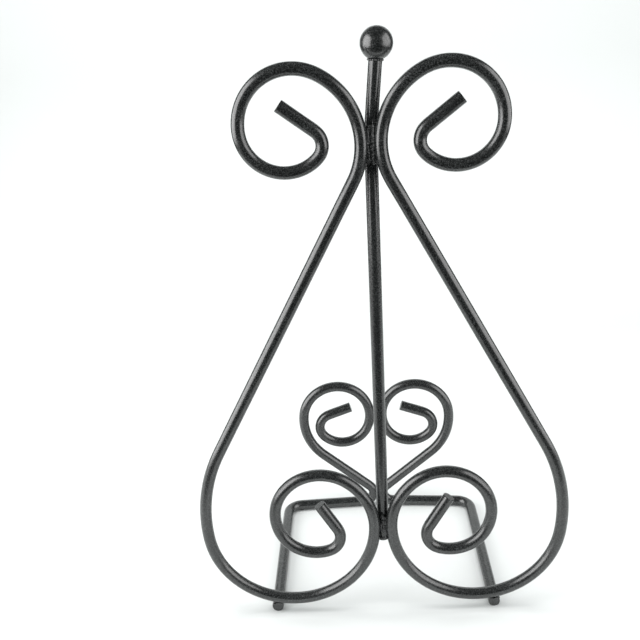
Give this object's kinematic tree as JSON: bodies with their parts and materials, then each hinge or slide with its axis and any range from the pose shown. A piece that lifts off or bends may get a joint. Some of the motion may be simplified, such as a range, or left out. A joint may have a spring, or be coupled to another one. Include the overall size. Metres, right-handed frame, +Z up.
{
  "type": "display easel",
  "caption": "Free-standing scrollwork display easel of bent round steel rod, with tall twin scrolls, a straight post with a ball finial, foot rods and a heart-shaped lip.",
  "frame": {"origin": "on the floor, under the middle of the object's box", "axes": "+Z up, +X to the right as seen from the tall scrolls' side, +Y from the tall scrolls towards the heart-shaped lip"},
  "size_m": [0.2158, 0.1244, 0.3383],
  "materials": {
    "rod": "satin black paint with a fine speckle",
    "ball": "semi-gloss black paint",
    "weld": "satin black paint over lumpy weld beads"
  },
  "bodies": {
    "root": {"scroll_left": "rod", "scroll_right": "rod", "post": "rod", "finial_ball": "ball", "base_rod_left": "rod", "base_rod_right": "rod", "weld_top": "weld", "weld_bottom": "weld", "weld_finial": "weld", "weld_foot_left": "weld", "weld_foot_right": "weld", "weld_base": "weld"}
  },
  "joints": []
}
